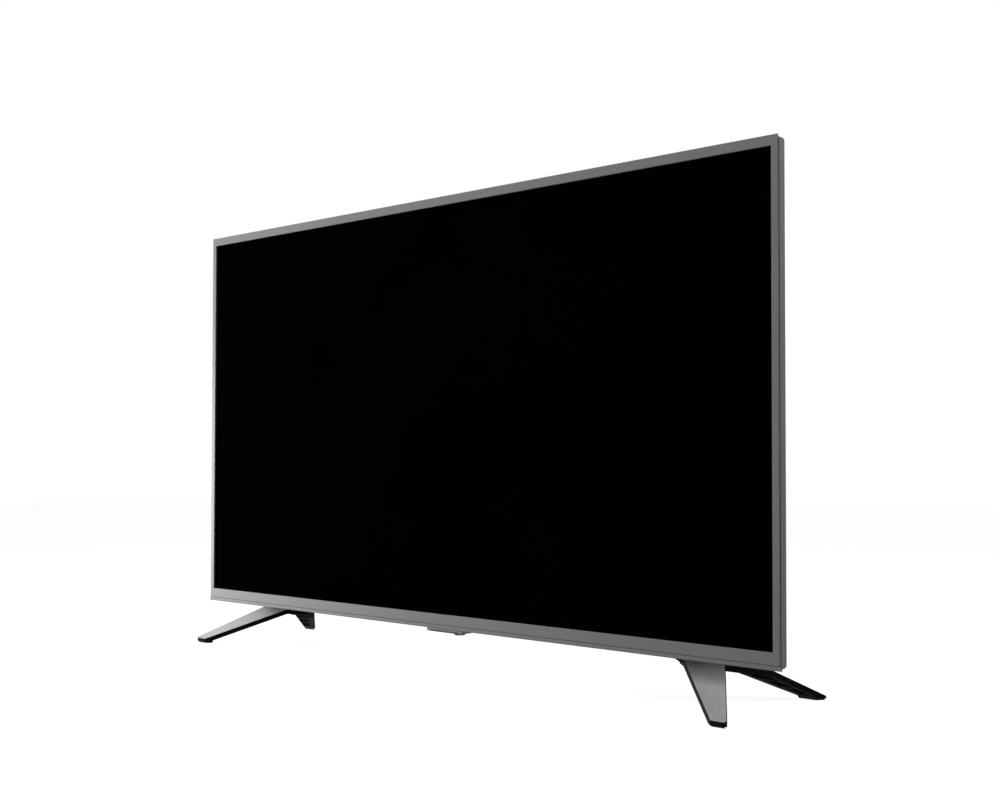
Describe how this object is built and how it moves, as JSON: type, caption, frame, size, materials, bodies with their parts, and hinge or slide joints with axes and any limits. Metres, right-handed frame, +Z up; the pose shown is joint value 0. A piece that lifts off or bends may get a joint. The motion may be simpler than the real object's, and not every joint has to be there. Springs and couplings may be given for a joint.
{
  "type": "flat screen television",
  "caption": "Slim flat screen television with a thin grey frame, a black screen, a deeper lower rear cover and splayed chevron feet with silver blades.",
  "frame": {"origin": "floor level, midway between the feet across and midway between their front and rear toes", "axes": "+X to the viewer's right along the screen, -Y out of the screen towards the viewer, +Z up"},
  "size_m": [0.9776, 0.227, 0.6295],
  "materials": {
    "bezel_grey": "brushed satin",
    "cover_grey": "fine texture",
    "black_plastic": "satin",
    "foot_silver": "satin",
    "screen_black": "half gloss",
    "dark_window": "gloss",
    "rubber_black": "matte",
    "film_white": "matte",
    "film_clear": "gloss",
    "film_amber": "gloss",
    "steel": "plain",
    "screw_black": "satin",
    "board_green": "satin",
    "board_white": "satin",
    "aluminium": "plain",
    "socket_metal": "plated",
    "socket_black": "satin",
    "winding": "taped",
    "capacitor": "sleeved",
    "cable": "matte",
    "ribbon": "satin",
    "cone_paper": "matte"
  },
  "bodies": {
    "cabinet": {"aerial_sockets": "socket_metal", "av_jacks": "socket_black", "board_screws": "steel", "board_wires": "cable", "bottom_trim": "bezel_grey", "chassis_pan": "steel", "control_housing": "black_plastic", "cover_screws": "screw_black", "diffuser_plate": "film_white", "diffuser_sheet": "film_white", "driver_films": "film_amber", "foot_left": "black_plastic", "foot_pads": "rubber_black", "foot_plate_left": "foot_silver", "foot_plate_right": "foot_silver", "foot_right": "black_plastic", "foot_screws": "screw_black", "front_bezel": "bezel_grey", "hdmi_sockets": "socket_metal", "headphone_jack": "socket_black", "lcd_cell": "screen_black", "led_bars": "board_white", "led_lenses": "film_clear", "main_board": "board_green", "main_heat_sink": "aluminium", "mains_inlet": "socket_black", "mid_frame": "black_plastic", "network_socket": "socket_black", "optical_socket": "socket_black", "panel_ribbon": "ribbon", "power_board": "board_green", "power_capacitors": "capacitor", "power_harness": "cable", "power_heat_sinks": "aluminium", "power_windings": "winding", "prism_sheet": "film_clear", "rear_cover": "cover_grey", "rear_terminal_plate": "black_plastic", "reflector_sheet": "film_white", "sensor_board": "board_green", "sensor_hood": "cover_grey", "sensor_window": "dark_window", "side_terminal_plate": "black_plastic", "source_boards": "board_green", "source_ribbons": "ribbon", "speaker_box_left": "black_plastic", "speaker_box_right": "black_plastic", "speaker_driver_left": "steel", "speaker_driver_right": "steel", "speaker_wires": "cable", "stand_brackets": "steel", "timing_board": "board_green", "usb_sockets": "socket_metal", "wall_mount_posts": "steel", "wireless_board": "board_green"},
    "control_ring": {"control_ring": "black_plastic"},
    "control_yoke": {"control_yoke": "black_plastic"},
    "control_knob": {"control_knob": "black_plastic"},
    "speaker_cone_left": {"speaker_cone_left": "cone_paper"},
    "speaker_cone_right": {"speaker_cone_right": "cone_paper"}
  },
  "joints": [
    {"name": "stick_tilt_front_back", "type": "hinge", "parent": "cabinet", "child": "control_ring", "pos_m": [0, -0.0195, 0.0605], "axis": [1, 0, 0], "range_deg": [-5, 5], "stiffness_Nm_per_rad": 0.05},
    {"name": "stick_tilt_sideways", "type": "hinge", "parent": "control_ring", "child": "control_yoke", "pos_m": [0, -0.0195, 0.0605], "axis": [0, 1, 0], "range_deg": [-5, 5], "stiffness_Nm_per_rad": 0.05},
    {"name": "stick_press", "type": "slide", "parent": "control_yoke", "child": "control_knob", "axis": [0, 0, 1], "range_m": [0, 0.0005], "stiffness_N_per_m": 300},
    {"name": "cone_left_stroke", "type": "slide", "parent": "cabinet", "child": "speaker_cone_left", "axis": [0, 0, 1], "range_m": [-0.001, 0.001], "stiffness_N_per_m": 400},
    {"name": "cone_right_stroke", "type": "slide", "parent": "cabinet", "child": "speaker_cone_right", "axis": [0, 0, 1], "range_m": [-0.001, 0.001], "stiffness_N_per_m": 400}
  ]
}
